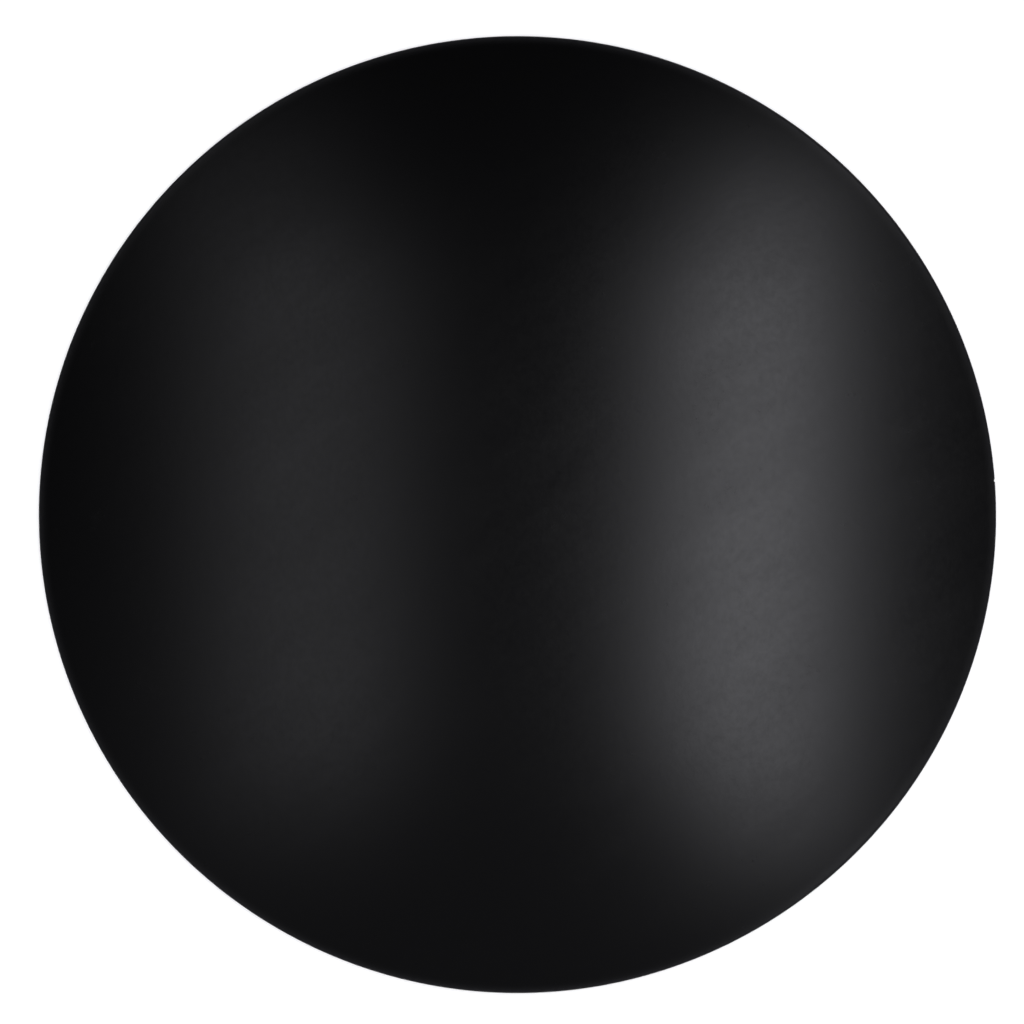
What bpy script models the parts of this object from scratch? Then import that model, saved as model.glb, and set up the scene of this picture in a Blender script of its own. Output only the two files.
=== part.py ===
"""Round magnetic build plate for a delta 3D printer, with its peel-and-stick base.

The part lies flat as it is sold: a split release liner at the bottom, the bed adhesive, the magnetic
base sheet, and on top of them the flexible plate, which is a magnetic sheet with the print film stuck
to it. The origin is the centre of the underside, +Z is up and the front of the printer is at -Y.
"""

import math

import bpy

MM = 0.001

# Driving dimensions, in metres.
PLATE_RADIUS = 110.0 * MM
BASE_INSET = 0.25 * MM  # the base sheet is cut this much smaller all round
LAYER_GAP = 0.02 * MM  # between layers that touch in the real plate

LINER_THICKNESS = 0.12 * MM
BED_ADHESIVE_THICKNESS = 0.13 * MM
BASE_MAGNET_THICKNESS = 0.80 * MM
PLATE_MAGNET_THICKNESS = 0.70 * MM
FILM_ADHESIVE_THICKNESS = 0.05 * MM
FILM_THICKNESS = 0.20 * MM

LINER_SPLIT_GAP = 0.30 * MM
FILM_EDGE_ROUNDING = 0.06 * MM
FILM_EDGE_SEGMENTS = 2

# The knife starts and stops its round cut at one spot on the right-hand rim, and leaves a small nick.
NICK_ANGLE = math.radians(4.1)
NICK_DEPTH = 0.28 * MM
NICK_CUTTER_RADIUS = 0.45 * MM
NICK_CUTTER_SIDES = 24

RIM_SEGMENTS = 160
CUTTER_MARGIN = 5.0 * MM
SMOOTH_ANGLE = math.radians(30)

# Heights of each layer's underside, from the liner upwards.
LINER_BOTTOM = 0.0
BED_ADHESIVE_BOTTOM = LINER_BOTTOM + LINER_THICKNESS + LAYER_GAP
BASE_MAGNET_BOTTOM = BED_ADHESIVE_BOTTOM + BED_ADHESIVE_THICKNESS + LAYER_GAP
PLATE_MAGNET_BOTTOM = BASE_MAGNET_BOTTOM + BASE_MAGNET_THICKNESS + LAYER_GAP
FILM_ADHESIVE_BOTTOM = PLATE_MAGNET_BOTTOM + PLATE_MAGNET_THICKNESS + LAYER_GAP
FILM_BOTTOM = FILM_ADHESIVE_BOTTOM + FILM_ADHESIVE_THICKNESS + LAYER_GAP

BASE_RADIUS = PLATE_RADIUS - BASE_INSET


def clear_scene():
    """Remove every object that is in the scene."""
    for old_object in list(bpy.data.objects):
        bpy.data.objects.remove(old_object, do_unlink=True)


def add_collection(name):
    """Make an empty collection in the scene."""
    collection = bpy.data.collections.new(name)
    bpy.context.scene.collection.children.link(collection)
    return collection


def move_to(collection, item):
    """Take an object out of its collections and put it in this one."""
    for old_collection in list(item.users_collection):
        old_collection.objects.unlink(item)
    collection.objects.link(item)


def principled(name, colour, roughness, metallic=0.0):
    """A Principled material of one linear colour."""
    material = bpy.data.materials.new(name)
    material.use_nodes = True
    shader = material.node_tree.nodes["Principled BSDF"]
    shader.inputs["Base Color"].default_value = (*colour, 1.0)
    shader.inputs["Roughness"].default_value = roughness
    shader.inputs["Metallic"].default_value = metallic
    return material


def add_axis(collection, name, place):
    """An empty that marks where a moving body turns or slides."""
    axis = bpy.data.objects.new(name, None)
    axis.empty_display_size = 0.02
    axis.location = place
    collection.objects.link(axis)
    return axis


def hang_on(axis, item):
    """Parent an object to an axis empty and leave it where it is in the world."""
    bpy.context.view_layer.update()
    item.parent = axis
    item.matrix_parent_inverse = axis.matrix_world.inverted()


def shade_round(item):
    """Smooth shading on the round rim, with the edges of the flat faces kept sharp."""
    item.data.shade_smooth()
    item.data.set_sharp_from_angle(angle=SMOOTH_ANGLE)


def add_disc(collection, name, radius, bottom, thickness, material):
    """A flat round layer that stands on the height bottom."""
    bpy.ops.mesh.primitive_cylinder_add(
        vertices=RIM_SEGMENTS,
        radius=radius,
        depth=thickness,
        location=(0.0, 0.0, bottom + thickness / 2),
    )
    disc = bpy.context.object
    disc.name = name
    disc.data.name = name
    disc.data.materials.append(material)
    shade_round(disc)
    move_to(collection, disc)
    return disc


def make_cutter(collection, cutter, name):
    """Name a cutter and keep it out of the finished part."""
    cutter.name = name
    cutter.hide_render = True
    cutter.display_type = "WIRE"
    move_to(collection, cutter)
    return cutter


def add_nick_cutter(collection):
    """An upright rod just outside the rim, which bites the nick out of the plate's edge."""
    distance = PLATE_RADIUS + NICK_CUTTER_RADIUS - NICK_DEPTH
    middle = (PLATE_MAGNET_BOTTOM + FILM_BOTTOM + FILM_THICKNESS) / 2
    bpy.ops.mesh.primitive_cylinder_add(
        vertices=NICK_CUTTER_SIDES,
        radius=NICK_CUTTER_RADIUS,
        depth=2 * CUTTER_MARGIN,
        location=(distance * math.cos(NICK_ANGLE), distance * math.sin(NICK_ANGLE), middle),
        rotation=(0.0, 0.0, NICK_ANGLE),
    )
    return make_cutter(collection, bpy.context.object, "nick_cutter")


def add_half_cutter(collection, side):
    """A box over the half of the liner that side doesn't keep, and over its share of the split gap."""
    reach = BASE_RADIUS + CUTTER_MARGIN
    bpy.ops.mesh.primitive_cube_add(
        size=1.0,
        location=(side * (LINER_SPLIT_GAP - reach) / 2, 0.0, LINER_THICKNESS / 2),
        scale=(reach, 2 * reach, 2 * CUTTER_MARGIN),
    )
    cutter = bpy.context.object
    bpy.ops.object.transform_apply(location=False, rotation=False, scale=True)
    return make_cutter(collection, cutter, "liner_cutter_left" if side < 0 else "liner_cutter_right")


def cut(item, cutter):
    """Take the cutter's shape out of an object."""
    boolean = item.modifiers.new("cut", "BOOLEAN")
    boolean.operation = "DIFFERENCE"
    boolean.solver = "EXACT"
    boolean.object = cutter


def round_top_rim(item):
    """Ease the upper rim of a disc, where the knife presses the film down as it goes in."""
    mesh = item.data
    top = max(vertex.co.z for vertex in mesh.vertices)
    weights = mesh.attributes.new("bevel_weight_edge", "FLOAT", "EDGE")
    for edge in mesh.edges:
        on_top = all(math.isclose(mesh.vertices[i].co.z, top, abs_tol=1e-6) for i in edge.vertices)
        weights.data[edge.index].value = 1.0 if on_top else 0.0
    bevel = item.modifiers.new("eased_rim", "BEVEL")
    bevel.limit_method = "WEIGHT"
    bevel.width = FILM_EDGE_ROUNDING
    bevel.segments = FILM_EDGE_SEGMENTS


def build_flex_plate(parts, cutters):
    """The plate that lifts off: print film, its adhesive, and the magnetic sheet under them."""
    film_black = principled("print_film", (0.0020, 0.0020, 0.0022), 0.25)
    clear_adhesive = principled("film_adhesive", (0.10, 0.095, 0.08), 0.25)
    magnet_rubber = principled("plate_magnet_sheet", (0.044, 0.040, 0.037), 0.50)

    sheet = add_disc(
        parts,
        "plate_magnet_sheet",
        PLATE_RADIUS,
        PLATE_MAGNET_BOTTOM,
        PLATE_MAGNET_THICKNESS,
        magnet_rubber,
    )
    adhesive = add_disc(
        parts,
        "film_adhesive",
        PLATE_RADIUS,
        FILM_ADHESIVE_BOTTOM,
        FILM_ADHESIVE_THICKNESS,
        clear_adhesive,
    )
    film = add_disc(parts, "print_film", PLATE_RADIUS, FILM_BOTTOM, FILM_THICKNESS, film_black)
    round_top_rim(film)

    peel_axis = add_axis(parts, "plate_peel_axis", (0.0, PLATE_RADIUS, PLATE_MAGNET_BOTTOM))
    nick_cutter = add_nick_cutter(cutters)
    for layer in (sheet, adhesive, film):
        cut(layer, nick_cutter)
        hang_on(peel_axis, layer)


def build_magnetic_base(parts):
    """The base that stays on the printer's bed: the magnetic sheet and the adhesive under it."""
    magnet_rubber = principled("base_magnet_sheet", (0.049, 0.044, 0.039), 0.50)
    bed_tape = principled("bed_adhesive", (0.42, 0.33, 0.17), 0.20)
    add_disc(
        parts,
        "base_magnet_sheet",
        BASE_RADIUS,
        BASE_MAGNET_BOTTOM,
        BASE_MAGNET_THICKNESS,
        magnet_rubber,
    )
    add_disc(
        parts,
        "bed_adhesive",
        BASE_RADIUS,
        BED_ADHESIVE_BOTTOM,
        BED_ADHESIVE_THICKNESS,
        bed_tape,
    )


def build_liner(parts, cutters):
    """The release liner, split across the middle so that each half pulls off to its own side."""
    liner_paper = principled("liner", (0.50, 0.38, 0.23), 0.45)
    for name, side in (("liner_left", -1), ("liner_right", 1)):
        half = add_disc(parts, name, BASE_RADIUS, LINER_BOTTOM, LINER_THICKNESS, liner_paper)
        cut(half, add_half_cutter(cutters, side))
        pull_axis = add_axis(parts, f"{name}_pull_axis", (side * LINER_SPLIT_GAP / 2, 0.0, 0.0))
        hang_on(pull_axis, half)


def main():
    clear_scene()
    parts = add_collection("round_build_plate")
    cutters = add_collection("cutters")
    build_liner(parts, cutters)
    build_magnetic_base(parts)
    build_flex_plate(parts, cutters)


main()
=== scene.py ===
"""The looks of the round magnetic build plate: knife-cut film, magnetic rubber, adhesives and liner."""

import math

import bmesh
import bpy
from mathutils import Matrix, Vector, noise


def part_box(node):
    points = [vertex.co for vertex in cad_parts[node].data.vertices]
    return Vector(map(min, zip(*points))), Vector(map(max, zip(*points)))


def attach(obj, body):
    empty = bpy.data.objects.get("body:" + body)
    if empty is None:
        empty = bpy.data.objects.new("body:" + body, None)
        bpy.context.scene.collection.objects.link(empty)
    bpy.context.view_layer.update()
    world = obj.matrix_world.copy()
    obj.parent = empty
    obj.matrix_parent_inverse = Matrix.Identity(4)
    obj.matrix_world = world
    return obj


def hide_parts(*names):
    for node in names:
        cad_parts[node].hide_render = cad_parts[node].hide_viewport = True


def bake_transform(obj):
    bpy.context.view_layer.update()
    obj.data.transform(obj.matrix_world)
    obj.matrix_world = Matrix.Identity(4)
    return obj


MM = 0.001

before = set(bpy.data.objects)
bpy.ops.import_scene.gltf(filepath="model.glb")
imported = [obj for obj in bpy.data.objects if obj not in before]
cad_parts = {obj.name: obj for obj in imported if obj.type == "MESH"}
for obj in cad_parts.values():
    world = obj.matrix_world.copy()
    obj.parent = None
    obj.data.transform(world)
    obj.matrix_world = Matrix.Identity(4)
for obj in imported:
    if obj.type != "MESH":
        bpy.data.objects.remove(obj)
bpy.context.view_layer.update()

# ---------------------------------------------------------------------------------------------------
# Sizes
# ---------------------------------------------------------------------------------------------------

# Read from the frame.
FILM_HIGH = Vector(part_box("print_film")[1])
PLATE_RADIUS = FILM_HIGH.x
TOP = FILM_HIGH.z
BASE_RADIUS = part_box("base_magnet_sheet")[1][0]

# The knife mark where the round cut starts and stops.
NICK_ANGLE = math.radians(4.1)
NICK_DEPTH = 0.28 * MM
NICK_CUTTER_RADIUS = 0.45 * MM
NICK_CUTTER_HEIGHT = 10 * MM
NICK_CUTTER_SIDES = 32

# A round cut in a soft sheet is never quite a circle. Its slow drift is the sum of a few sets of lobes:
# how many go round the rim, where one of them peaks in degrees, and their height.
RIM_LOBES = ((2, 153, 0.030 * MM), (3, 87, 0.033 * MM), (4, 81, 0.038 * MM))

# The sheets lie almost flat, with a slow waviness far too small to see from the side.
WAVE_HEIGHT = 0.014 * MM
WAVE_LENGTH = 60 * MM
WAVE_SEED = 3.7

# The knife raised a low lip along the film's rim, and rolled the film over from the lip's crest outwards.
LIP_CREST = 0.49 * MM  # in from the rim
LIP_HEIGHT = 0.012 * MM
LIP_WIDTH = 0.97 * MM
LIP_STEPS = 9
ROLL_DEPTH = 0.12 * MM
ROLL_STEPS = 6
CUT_EDGE_WIDTH = 0.12 * MM  # in from the rim, where the film's cut edge shows

# Cut edges of the sheets: how much their corners are eased, and how far they are drawn in at half height.
SHEET_EASE = 0.03 * MM
PAPER_EASE = 0.006 * MM
EDGE_WAIST = 0.06 * MM

# How far an adhesive layer's edge bulges out between its faces.
BEAD_BULGE = 0.10 * MM
BEAD_STEPS = 6

# Handling wear and a painted rim glow grey the film this far in from its rim.
WEAR_AND_GLOW_WIDTH = 2.6 * MM
WEAR_AND_GLOW_FADE = 3

GRID_HALF = 64  # cells from the middle of a disc to its rim
SLIVER = 0.0002 * MM  # edges shorter than this are dropped after a cut
LINER_CUTTER = (200 * MM, 300 * MM, 20 * MM)  # a box that covers half a disc
SHARP_ANGLE = math.radians(35)


# ---------------------------------------------------------------------------------------------------
# Disc meshes
# ---------------------------------------------------------------------------------------------------


def rim_drift(angle):
    """How far the knife-cut rim drifts in from the full radius at an angle."""
    return sum(
        height * (1.0 - math.cos(count * (angle - math.radians(peak)))) for count, peak, height in RIM_LOBES
    )


def square_to_disc(a, b):
    """The point of the unit disc that a point of the square -1..1 goes to, with even rings."""
    if a == 0.0 and b == 0.0:
        return 0.0, 0.0
    if abs(a) > abs(b):
        radius, angle = a, math.pi / 4 * b / a
    else:
        radius, angle = b, math.pi / 2 - math.pi / 4 * a / b
    return radius * math.cos(angle), radius * math.sin(angle)


def wave(x, y):
    """A slow dip in the sheet, from 0 down to WAVE_HEIGHT."""
    value = noise.noise(Vector((x / WAVE_LENGTH, y / WAVE_LENGTH, WAVE_SEED)))
    return -WAVE_HEIGHT * min(max(0.5 + value, 0.0), 1.0)


def disc_mesh(name, radius, bottom, profile, wavy=True):
    """A closed disc, and its rim's faces as (index, distance in from the rim).

    profile lists the rim's points from the top face down to the underside, each as (distance in, height
    above bottom). Both faces are grids, and wavy lets all of them dip slowly.
    """
    points, faces, rim_faces = [], [], []
    half = GRID_HALF
    side = 2 * half + 1
    count = 8 * half

    def add_point(angle, inset, height, spread=1.0):
        """A point at an angle, spread of the way from the middle to the rim's ring at inset."""
        reach = (radius - rim_drift(angle) - inset) * spread
        x, y = reach * math.cos(angle), reach * math.sin(angle)
        points.append((x, y, height + (wave(x, y) if wavy else 0.0)))

    def grid(inset, height):
        """A whole face of the disc, out to inset from the rim."""
        first = len(points)
        for i in range(side):
            for j in range(side):
                u, v = square_to_disc(i / half - 1.0, j / half - 1.0)
                add_point(math.atan2(v, u), inset, height, math.hypot(u, v))
        return first

    def grid_rim(first):
        """The grid's outer points, anticlockwise from angle 0."""
        outer = [(side - 1, j) for j in range(half, side)]
        outer += [(i, side - 1) for i in range(side - 2, -1, -1)]
        outer += [(0, j) for j in range(side - 2, -1, -1)]
        outer += [(i, 0) for i in range(1, side)]
        outer += [(side - 1, j) for j in range(1, half)]
        return [first + i * side + j for i, j in outer]

    top_inset, top_height = profile[0]
    top = grid(top_inset, bottom + top_height)
    for i in range(side - 1):
        for j in range(side - 1):
            a = top + i * side + j
            faces.append((a, a + side, a + side + 1, a + 1))
    ring = grid_rim(top)
    for inset, height in profile[1:-1]:
        first = len(points)
        for j in range(count):
            add_point(2 * math.pi * j / count, inset, bottom + height)
        lower = [first + j for j in range(count)]
        for j in range(count):
            k = (j + 1) % count
            rim_faces.append((len(faces), inset))
            faces.append((ring[j], lower[j], lower[k], ring[k]))
        ring = lower
    low_inset, low_height = profile[-1]
    under = grid(low_inset, bottom + low_height)
    lower = grid_rim(under)
    for j in range(count):
        k = (j + 1) % count
        rim_faces.append((len(faces), low_inset))
        faces.append((ring[j], lower[j], lower[k], ring[k]))
    for i in range(side - 1):
        for j in range(side - 1):
            a = under + i * side + j
            faces.append((a, a + 1, a + side + 1, a + side))
    mesh = bpy.data.meshes.new(name)
    mesh.from_pydata(points, [], faces)
    mesh.validate()
    return mesh, rim_faces


def add_object(name, mesh):
    """Put a mesh in the scene as an object."""
    piece = bpy.data.objects.new(name, mesh)
    bpy.context.scene.collection.objects.link(piece)
    return piece


def shade(piece):
    """Smooth shading, with the corners kept sharp."""
    piece.data.shade_smooth()
    piece.data.set_sharp_from_angle(angle=SHARP_ANGLE)


def bake_modifiers(piece):
    """Apply an object's modifiers to its mesh."""
    depsgraph = bpy.context.evaluated_depsgraph_get()
    old = piece.data
    piece.data = bpy.data.meshes.new_from_object(piece.evaluated_get(depsgraph))
    piece.modifiers.clear()
    bpy.data.meshes.remove(old)


def cut_with(piece, cutter):
    """Take the cutter's shape out of a piece, and drop any slivers that the cut leaves."""
    boolean = piece.modifiers.new("cut", "BOOLEAN")
    boolean.operation = "DIFFERENCE"
    boolean.solver = "EXACT"
    boolean.object = cutter
    bake_modifiers(piece)
    clean = bmesh.new()
    clean.from_mesh(piece.data)
    bmesh.ops.dissolve_degenerate(clean, dist=SLIVER, edges=clean.edges)
    clean.to_mesh(piece.data)
    clean.free()


def drop(piece):
    """Remove an object from the scene."""
    bpy.data.objects.remove(piece, do_unlink=True)


# ---------------------------------------------------------------------------------------------------
# Materials
# ---------------------------------------------------------------------------------------------------


class Nodes:
    """A node tree, with short calls for the nodes that are used here."""

    def __init__(self, tree):
        self.tree = tree

    def node(self, kind, inputs=None, **settings):
        """A new node. inputs gives values or links for its sockets, settings its properties."""
        made = self.tree.nodes.new(kind)
        for key, value in settings.items():
            setattr(made, key, value)
        for key, value in (inputs or {}).items():
            self.put(made.inputs[key], value)
        return made

    def put(self, socket, value):
        """Link a socket to another one, or set it to a constant."""
        if isinstance(value, bpy.types.NodeSocket):
            self.tree.links.new(value, socket)
        else:
            socket.default_value = value

    def math(self, operation, *values, clamp=False):
        """The result of one sum."""
        made = self.node("ShaderNodeMath", dict(enumerate(values)), operation=operation, use_clamp=clamp)
        return made.outputs[0]

    def range(self, value, low, high, from_low=0.0, from_high=1.0):
        """Take from_low..from_high to low..high, clamped."""
        inputs = {
            "Value": value,
            "From Min": from_low,
            "From Max": from_high,
            "To Min": low,
            "To Max": high,
        }
        return self.node("ShaderNodeMapRange", inputs).outputs["Result"]


class Shader(Nodes):
    """A new material's node tree, around one Principled shader."""

    def __init__(self, name):
        self.material = bpy.data.materials.new(name)
        self.material.use_nodes = True
        super().__init__(self.material.node_tree)
        self.main = self.tree.nodes["Principled BSDF"]
        self.place = self.node("ShaderNodeTexCoord").outputs["Object"]

    def set(self, **values):
        """Set or link the Principled shader's sockets. Their names have _ for each space."""
        for key, value in values.items():
            self.put(self.main.inputs[key.replace("_", " ")], value)

    def stretched(self, factor):
        """Object coordinates times a factor along each axis."""
        made = self.node("ShaderNodeVectorMath", {0: self.place, 1: factor}, operation="MULTIPLY")
        return made.outputs[0]

    def noise(self, size, detail=2.0, roughness=0.5, vector=None):
        """Noise from 0 to 1 whose features are about size metres across."""
        inputs = {
            "Vector": vector or self.place,
            "Scale": 1.0 / size,
            "Detail": detail,
            "Roughness": roughness,
        }
        return self.node("ShaderNodeTexNoise", inputs).outputs["Fac"]

    def mix(self, factor, first, second):
        """A colour from first to second."""
        made = self.node("ShaderNodeMix", data_type="RGBA")
        self.put(made.inputs[0], factor)
        for socket, colour in ((made.inputs[6], first), (made.inputs[7], second)):
            self.put(socket, colour if isinstance(colour, bpy.types.NodeSocket) else (*colour, 1.0))
        return made.outputs[2]

    def bump(self, height, distance, under=None):
        """A bumpy normal, distance metres high, on top of the normal under."""
        inputs = {"Height": height, "Distance": distance}
        if under is not None:
            inputs["Normal"] = under
        return self.node("ShaderNodeBump", inputs).outputs["Normal"]


def film_material():
    """Satin black print film: a fine grain over faint slanting streaks and clouds, blacker where they make
    it rougher, and greyed towards its rim by handling wear and a painted rim glow."""
    shader = Shader("film_face")
    slant = shader.node(
        "ShaderNodeMapping",
        {"Vector": shader.place, "Rotation": (0.0, 0.0, math.radians(35)), "Scale": (4.0, 1.0, 1.0)},
        vector_type="TEXTURE",
    ).outputs[0]
    grain = shader.noise(1.3 * MM, detail=3.0, roughness=0.6)
    streaks = shader.noise(2.6 * MM, vector=slant)
    clouds = shader.noise(9 * MM, vector=slant)
    slow = shader.math("ADD", shader.range(streaks, -0.012, 0.012), shader.range(clouds, -0.026, 0.026))
    roughness = shader.math("ADD", shader.range(grain, 0.212, 0.288), slow)
    rough = shader.range(roughness, 0.0, 1.0, 0.235, 0.265)
    black = shader.mix(rough, (0.0026, 0.0026, 0.0028), (0.0008, 0.0008, 0.0008))
    # The grey towards the rim is partly handling wear and partly a painted rim glow.
    wear_and_glow = shader.node("ShaderNodeAttribute", attribute_name="rim_wear_and_glow").outputs["Fac"]
    rim_patchiness = shader.range(shader.noise(0.8 * MM), 0.55, 1.45)
    worn_and_glowing = shader.math("MULTIPLY", wear_and_glow, rim_patchiness)
    shader.set(
        Base_Color=shader.mix(worn_and_glowing, black, (0.030, 0.030, 0.031)),
        Roughness=roughness,
        Normal=shader.bump(grain, 0.007 * MM),
    )
    return shader.material


def film_edge_material():
    """The film's cut edge, a little greyer and glossier than its face."""
    shader = Shader("film_cut_edge")
    drag = shader.noise(0.25 * MM, detail=3.0, vector=shader.stretched((1.0, 1.0, 0.15)))
    shader.set(
        Base_Color=shader.mix(drag, (0.014, 0.014, 0.0145), (0.034, 0.034, 0.035)),
        Roughness=shader.range(drag, 0.25, 0.42),
        Normal=shader.bump(drag, 0.02 * MM),
    )
    return shader.material


def adhesive_material(name, dark, light, roughness):
    """A pressure-sensitive adhesive's squeezed edge: glossy, a little lumpy."""
    shader = Shader(name)
    lumps = shader.noise(0.9 * MM)
    shader.set(
        Base_Color=shader.mix(lumps, dark, light),
        Roughness=shader.range(lumps, roughness - 0.06, roughness + 0.10),
        Normal=shader.bump(lumps, 0.03 * MM),
    )
    return shader.material


def magnet_material(name, dark, light):
    """The face of a ferrite rubber sheet: fine grain, calender clouding, and faint lines at the poles."""
    shader = Shader(name)
    grain = shader.noise(0.30 * MM, detail=3.0, roughness=0.6)
    cloud = shader.noise(14 * MM, detail=4.0)
    rolled = shader.noise(1.4 * MM, vector=shader.stretched((1.0, 0.05, 1.0)))
    poles = shader.node(
        "ShaderNodeTexWave",
        {"Vector": shader.place, "Scale": 0.16 / MM, "Distortion": 0.15, "Detail": 0.0},
        wave_type="BANDS",
        bands_direction="X",
        wave_profile="SIN",
    ).outputs["Fac"]
    line = shader.range(poles, 0.0, 1.0, 0.86, 1.0)
    tone = shader.math("ADD", cloud, shader.range(line, 0.0, 0.25))
    grained = shader.bump(grain, 0.012 * MM)
    rolled_over = shader.bump(rolled, 0.010 * MM, under=grained)
    shader.set(
        Base_Color=shader.mix(tone, dark, light),
        Roughness=shader.range(cloud, 0.42, 0.56),
        Normal=shader.bump(line, 0.004 * MM, under=rolled_over),
    )
    return shader.material


def magnet_edge_material():
    """The cut edge of a ferrite rubber sheet: torn grain with upright knife drags."""
    shader = Shader("magnet_cut_edge")
    drag = shader.noise(0.35 * MM, detail=3.0, vector=shader.stretched((1.0, 1.0, 0.12)))
    grain = shader.noise(0.12 * MM, detail=3.0)
    dragged = shader.bump(drag, 0.04 * MM)
    shader.set(
        Base_Color=shader.mix(drag, (0.026, 0.024, 0.023), (0.060, 0.054, 0.050)),
        Roughness=shader.range(grain, 0.58, 0.80),
        Normal=shader.bump(grain, 0.02 * MM, under=dragged),
    )
    return shader.material


def liner_material():
    """Siliconised kraft paper: fibres in every direction under a thin, slightly glossy coat."""
    shader = Shader("liner_paper")
    fibres = shader.noise(0.7 * MM, detail=6.0, roughness=0.65, vector=shader.stretched((1.0, 0.35, 1.0)))
    cross = shader.noise(0.8 * MM, detail=6.0, roughness=0.65, vector=shader.stretched((0.35, 1.0, 1.0)))
    cloud = shader.noise(11 * MM, detail=3.0)
    weave = shader.math("MULTIPLY", fibres, cross)
    tone = shader.math("ADD", shader.range(weave, 0.0, 1.6), shader.range(cloud, -0.2, 0.4))
    shader.set(
        Base_Color=shader.mix(tone, (0.40, 0.29, 0.165), (0.62, 0.49, 0.32)),
        Roughness=shader.range(weave, 0.34, 0.50),
        Normal=shader.bump(weave, 0.03 * MM),
    )
    return shader.material


# ---------------------------------------------------------------------------------------------------
# Pieces
# ---------------------------------------------------------------------------------------------------


def layer(name, node, profile, face_material, edge_material, wavy=True, edge_width=None):
    """A disc-shaped piece in the place of a CAD node, with a face material and an edge material.

    edge_width is how far in from the rim the edge material reaches. Without it, the whole profile has it.
    """
    low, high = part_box(node)
    mesh, rim_faces = disc_mesh(name, high[0], low[2], profile, wavy)
    mesh.materials.append(face_material)
    mesh.materials.append(edge_material)
    for index, inset in rim_faces:
        if edge_width is None or inset < edge_width:
            mesh.polygons[index].material_index = 1
    piece = add_object(name, mesh)
    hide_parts(node)
    return piece


def thickness(node):
    """How thick a CAD node is."""
    low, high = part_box(node)
    return high[2] - low[2]


def film_profile():
    """The film's rim: a bell-shaped rise to the lip's crest, a quarter ellipse down, and a square cut."""
    full = thickness("print_film")
    profile = []
    for k in range(LIP_STEPS, -1, -1):
        widths = 3.0 * k / LIP_STEPS  # distance in from the crest
        fall = LIP_HEIGHT * (1.0 - math.exp(-(widths**2)))
        profile.append((LIP_CREST + widths * LIP_WIDTH, full - fall))
    for k in range(1, ROLL_STEPS + 1):
        turn = math.pi / 2 * k / ROLL_STEPS
        profile.append((LIP_CREST * (1.0 - math.sin(turn)), full - ROLL_DEPTH * (1.0 - math.cos(turn))))
    return profile + [(0.0, 0.0)]


def square_profile(node, ease):
    """A cut edge, its two corners eased a little and its middle drawn in."""
    full = thickness(node)
    return [
        (2.5 * ease, full),
        (0.8 * ease, full - 0.25 * ease),
        (0.25 * ease, full - 0.8 * ease),
        (0.0, full - 2.0 * ease),
        (EDGE_WAIST, full / 2),
        (0.0, 2.0 * ease),
        (0.25 * ease, 0.8 * ease),
        (0.8 * ease, 0.25 * ease),
        (2.5 * ease, 0.0),
    ]


def bead_profile(node):
    """An adhesive layer's edge, squeezed out round in the middle and drawn in at the faces."""
    full = thickness(node)
    return [
        (BEAD_BULGE * (1.0 - math.sin(math.pi * k / BEAD_STEPS)), full * (1.0 - k / BEAD_STEPS))
        for k in range(BEAD_STEPS + 1)
    ]


def add_nick_cutter():
    """An upright rod just outside the rim, which bites the nick out of the plate's edge."""
    distance = PLATE_RADIUS + NICK_CUTTER_RADIUS - NICK_DEPTH
    bpy.ops.mesh.primitive_cylinder_add(
        vertices=NICK_CUTTER_SIDES,
        radius=NICK_CUTTER_RADIUS,
        depth=NICK_CUTTER_HEIGHT,
        location=(distance * math.cos(NICK_ANGLE), distance * math.sin(NICK_ANGLE), TOP / 2),
    )
    return bpy.context.object


def add_liner_cutter(split, side):
    """A box over everything that lies on the far side of the split from one half of the liner."""
    bpy.ops.mesh.primitive_cube_add(
        size=1.0, location=(split - side * LINER_CUTTER[0] / 2, 0.0, 0.0), scale=LINER_CUTTER
    )
    return bpy.context.object


def mark_wear_and_glow(piece):
    """Store the film's rim grey, wear plus a painted rim glow: 1 on the rim, fading to 0 at its band's width
    in.
    """
    wear_and_glow = piece.data.attributes.new("rim_wear_and_glow", "FLOAT", "POINT")
    for vertex in piece.data.vertices:
        x, y, _ = vertex.co
        inset = PLATE_RADIUS - rim_drift(math.atan2(y, x)) - math.hypot(x, y)
        wear_and_glow.data[vertex.index].value = min(max(1.0 - inset / WEAR_AND_GLOW_WIDTH, 0.0), 1.0) ** WEAR_AND_GLOW_FADE


def finish_plate_piece(piece):
    """Give a plate layer its smooth shading and bake its place into its mesh."""
    shade(piece)
    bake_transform(piece)


def build_plate():
    """The plate that peels off, in three layers. Returns its magnetic sheet and that sheet's edge material."""
    film_edge = film_edge_material()
    film_face = film_material()
    film = layer(
        "print_film_sheet", "print_film", film_profile(), film_face, film_edge, edge_width=CUT_EDGE_WIDTH
    )
    clear = adhesive_material("film_adhesive_edge", (0.06, 0.058, 0.05), (0.14, 0.135, 0.12), 0.25)
    bond = layer("film_adhesive_layer", "film_adhesive", bead_profile("film_adhesive"), clear, clear)
    face = magnet_material("plate_magnet_face", (0.030, 0.027, 0.025), (0.058, 0.052, 0.048))
    edge = magnet_edge_material()
    profile = square_profile("plate_magnet_sheet", SHEET_EASE)
    sheet = layer("plate_magnet_rubber", "plate_magnet_sheet", profile, face, edge)
    cutter = add_nick_cutter()
    for piece, slot in ((film, "print_film"), (bond, "film_adhesive"), (sheet, "plate_magnet_sheet")):
        cut_with(piece, cutter)
        finish_plate_piece(piece)
    mark_wear_and_glow(film)
    drop(cutter)
    return sheet, edge


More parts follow.
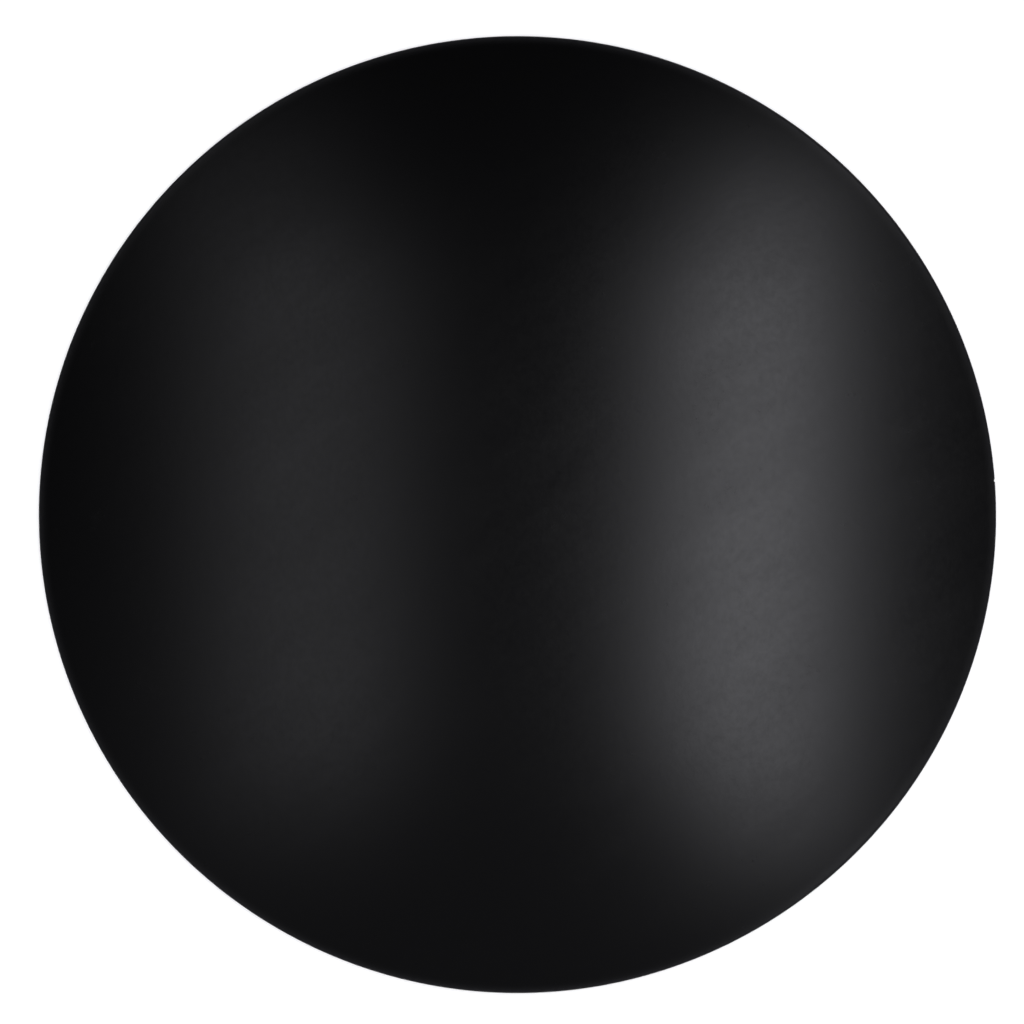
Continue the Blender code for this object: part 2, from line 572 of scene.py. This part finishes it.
def build_base(edge):
    """The base that stays on the bed: magnetic sheet, with edge as its edge material, and adhesive."""
    face = magnet_material("base_magnet_face", (0.034, 0.030, 0.027), (0.064, 0.057, 0.051))
    profile = square_profile("base_magnet_sheet", SHEET_EASE)
    sheet = layer("base_magnet_rubber", "base_magnet_sheet", profile, face, edge, wavy=False)
    amber = adhesive_material("bed_adhesive_edge", (0.36, 0.26, 0.11), (0.52, 0.41, 0.22), 0.20)
    bead = bead_profile("bed_adhesive")
    tape = layer("bed_adhesive_tape", "bed_adhesive", bead, amber, amber, wavy=False)
    for piece, slot in ((sheet, "base_magnet_sheet"), (tape, "bed_adhesive")):
        shade(piece)
        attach(piece, "magnetic_base")
    return [sheet, tape]


def build_liner():
    """The release liner's two halves, each cut from a whole disc along the split."""
    paper = liner_material()
    profile = square_profile("liner_left", PAPER_EASE)
    halves = []
    for side, node in ((-1, "liner_left"), (1, "liner_right")):
        low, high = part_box(node)
        mesh, _ = disc_mesh(node + "_paper", BASE_RADIUS, low[2], profile, wavy=False)
        mesh.materials.append(paper)
        half = add_object(node + "_paper", mesh)
        cutter = add_liner_cutter(high[0] if side < 0 else low[0], side)
        cut_with(half, cutter)
        drop(cutter)
        shade(half)
        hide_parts(node)
        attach(half, "liner_half_left" if side < 0 else "liner_half_right")
        halves.append(half)
    return halves


# ---------------------------------------------------------------------------------------------------
# Floor, light and camera
# ---------------------------------------------------------------------------------------------------

FLOOR_SIZE = 40.0
FLOOR_DEPTH = 0.02 * MM  # below the liner
DOME_RADIUS = 10.0
DOME_GLOW = 1.05

# The surround's light by height, from the horizon (0) to straight up (1): dim, a bright ring, then dark.
SURROUND_STRENGTH = 0.95
SURROUND_LEVELS = ((0.0, 0.10), (0.30, 0.22), (0.46, 0.30), (0.54, 1.08), (0.62, 1.08), (0.71, 0.0))
SURROUND_TINT = (1.0, 1.0, 1.10)
# The low panels brighten and dim the surround all round by this share, and end between these heights. The
# phase turns them so that each straight or diagonal side view has one a little off its middle.
PANEL_COUNT = 8
PANEL_SHARE = 0.85
PANEL_TOP = (0.40, 0.52)
PANEL_PHASE = math.radians(80)
# A wide glow high up in front of the plate.
FRONT_GLOW = 0.413

STRIP_HEIGHT = 232.5 * MM
STRIP_TINT = (1.0, 1.0, 1.06)
TABLE_LIGHT = 3.15
TABLE_LIGHT_SPREAD = math.radians(60)

CAMERA_DISTANCE = 450 * MM
CAMERA_FIELD = 235.15 * MM  # what the picture's width covers at the print face
CAMERA_PLACE = (-1.26 * MM, 0.63 * MM)
SENSOR_WIDTH = 36.0  # in millimetres, as Blender has it


def build_floor():
    """A white table, lit by its own soft light from above so that it stays white to its far edge."""
    bpy.ops.mesh.primitive_plane_add(size=FLOOR_SIZE, location=(0.0, 0.0, -FLOOR_DEPTH))
    floor = bpy.context.object
    floor.name = "white_table"
    shader = Shader("white_table")
    shader.set(Base_Color=(0.8, 0.8, 0.8, 1.0), Roughness=1.0, Specular_IOR_Level=0.0)
    floor.data.materials.append(shader.material)
    return floor


def build_backdrop():
    """A white dome far behind everything. Only the camera sees it, so the plate reflects a dark room."""
    bpy.ops.mesh.primitive_uv_sphere_add(segments=48, ring_count=24, radius=DOME_RADIUS)
    dome = bpy.context.object
    dome.name = "white_backdrop"
    for kind in ("diffuse", "glossy", "transmission", "volume_scatter", "shadow"):
        setattr(dome, f"visible_{kind}", False)
    shader = Shader("white_backdrop")
    shader.set(Base_Color=(0.0, 0.0, 0.0, 1.0), Roughness=1.0)
    shader.set(Emission_Color=(1.0, 1.0, 1.0, 1.0), Emission_Strength=DOME_GLOW)
    dome.data.materials.append(shader.material)


def build_world():
    """Studio surround: eight dim, soft panels low down, a ring of light above them, and dark overhead."""
    world = bpy.data.worlds.new("studio")
    bpy.context.scene.world = world
    world.use_nodes = True
    nodes = Nodes(world.node_tree)
    direction = nodes.node("ShaderNodeTexCoord").outputs["Generated"]
    x, y, z = nodes.node("ShaderNodeSeparateXYZ", {0: direction}).outputs

    ramp = nodes.node("ShaderNodeValToRGB", {"Fac": z})
    ramp.color_ramp.interpolation = "EASE"
    points = ramp.color_ramp.elements
    while len(points) < len(SURROUND_LEVELS):
        points.new(0.5)
    for point, (height, level) in zip(points, SURROUND_LEVELS):
        point.position = height
        point.color = (level, level, level, 1.0)

    azimuth = nodes.math("ARCTAN2", y, x)
    panels = nodes.math("COSINE", nodes.math("MULTIPLY_ADD", azimuth, float(PANEL_COUNT), PANEL_PHASE))
    share = nodes.math("MULTIPLY", panels, nodes.range(z, PANEL_SHARE, 0.0, *PANEL_TOP))
    around = nodes.math("MULTIPLY", ramp.outputs["Color"], nodes.math("ADD", share, 1.0))
    front = nodes.math("MULTIPLY", nodes.math("MULTIPLY", y, z), -FRONT_GLOW, clamp=True)
    total = nodes.math("ADD", around, front)
    tinted = nodes.node("ShaderNodeVectorMath", {0: total, 1: SURROUND_TINT}, operation="MULTIPLY")
    background = world.node_tree.nodes["Background"]
    nodes.put(background.inputs["Color"], tinted.outputs[0])
    background.inputs["Strength"].default_value = SURROUND_STRENGTH


def add_strip(name, middle, half_size, drop_mm, radiance, turn=0.0):
    """A strip softbox that faces straight down, drop_mm lower than STRIP_HEIGHT above the print face.

    middle and half_size are (x, y) in millimetres, and turn is in degrees.
    """
    lamp = bpy.data.lights.new(name, "AREA")
    lamp.shape = "RECTANGLE"
    lamp.size = 2 * half_size[0] * MM
    lamp.size_y = 2 * half_size[1] * MM
    lamp.energy = math.pi * lamp.size * lamp.size_y * radiance
    lamp.color = STRIP_TINT
    strip = bpy.data.objects.new(name, lamp)
    strip.location = (middle[0] * MM, middle[1] * MM, TOP + STRIP_HEIGHT - drop_mm * MM)
    strip.rotation_euler.z = math.radians(turn)
    strip.visible_camera = False
    bpy.context.scene.collection.objects.link(strip)


def build_lights():
    """Two strip softboxes, each a wide panel with a brighter core, and a hot spot in the right one."""
    add_strip("right_strip_wide", (90.4, 0.9), (22.6, 120.5), 0.0, 1.490)
    add_strip("right_strip_core", (75.1, -0.8), (25.4, 87.8), 4.0, 1.445)
    add_strip("right_strip_hot_spot", (70.0, -30.0), (22.0, 32.0), 6.0, 0.270)
    add_strip("left_strip_wide", (-84.8, 10.8), (29.0, 124.0), 0.0, 0.301, turn=4.0)
    add_strip("left_strip_core", (-65.2, 4.4), (28.0, 90.4), 4.0, 0.430)


def light_table(pieces):
    """A wide soft light straight above that reaches only these pieces, and no reflection in the plate."""
    lamp = bpy.data.lights.new("table_light", "SUN")
    lamp.energy = TABLE_LIGHT
    lamp.angle = TABLE_LIGHT_SPREAD
    sun = bpy.data.objects.new("table_light", lamp)
    sun.visible_camera = False
    bpy.context.scene.collection.objects.link(sun)
    receivers = bpy.data.collections.new("table_light_receivers")
    for piece in pieces:
        receivers.objects.link(piece)
    sun.light_linking.receiver_collection = receivers


def build_camera():
    """Straight above the plate, as in the photo."""
    data = bpy.data.cameras.new("overhead_camera")
    camera = bpy.data.objects.new("overhead_camera", data)
    bpy.context.scene.collection.objects.link(camera)
    data.sensor_width = SENSOR_WIDTH
    data.lens = SENSOR_WIDTH * CAMERA_DISTANCE / CAMERA_FIELD
    data.clip_start = 10 * MM
    camera.location = (*CAMERA_PLACE, TOP + CAMERA_DISTANCE)
    bpy.context.scene.camera = camera
    bpy.context.scene.view_settings.view_transform = "Standard"


build_camera()
build_lights()
build_world()
build_backdrop()
table = build_floor()
plate_sheet, magnet_edge = build_plate()
base_layers = build_base(magnet_edge)
liner_halves = build_liner()
light_table([table, plate_sheet, *base_layers, *liner_halves])
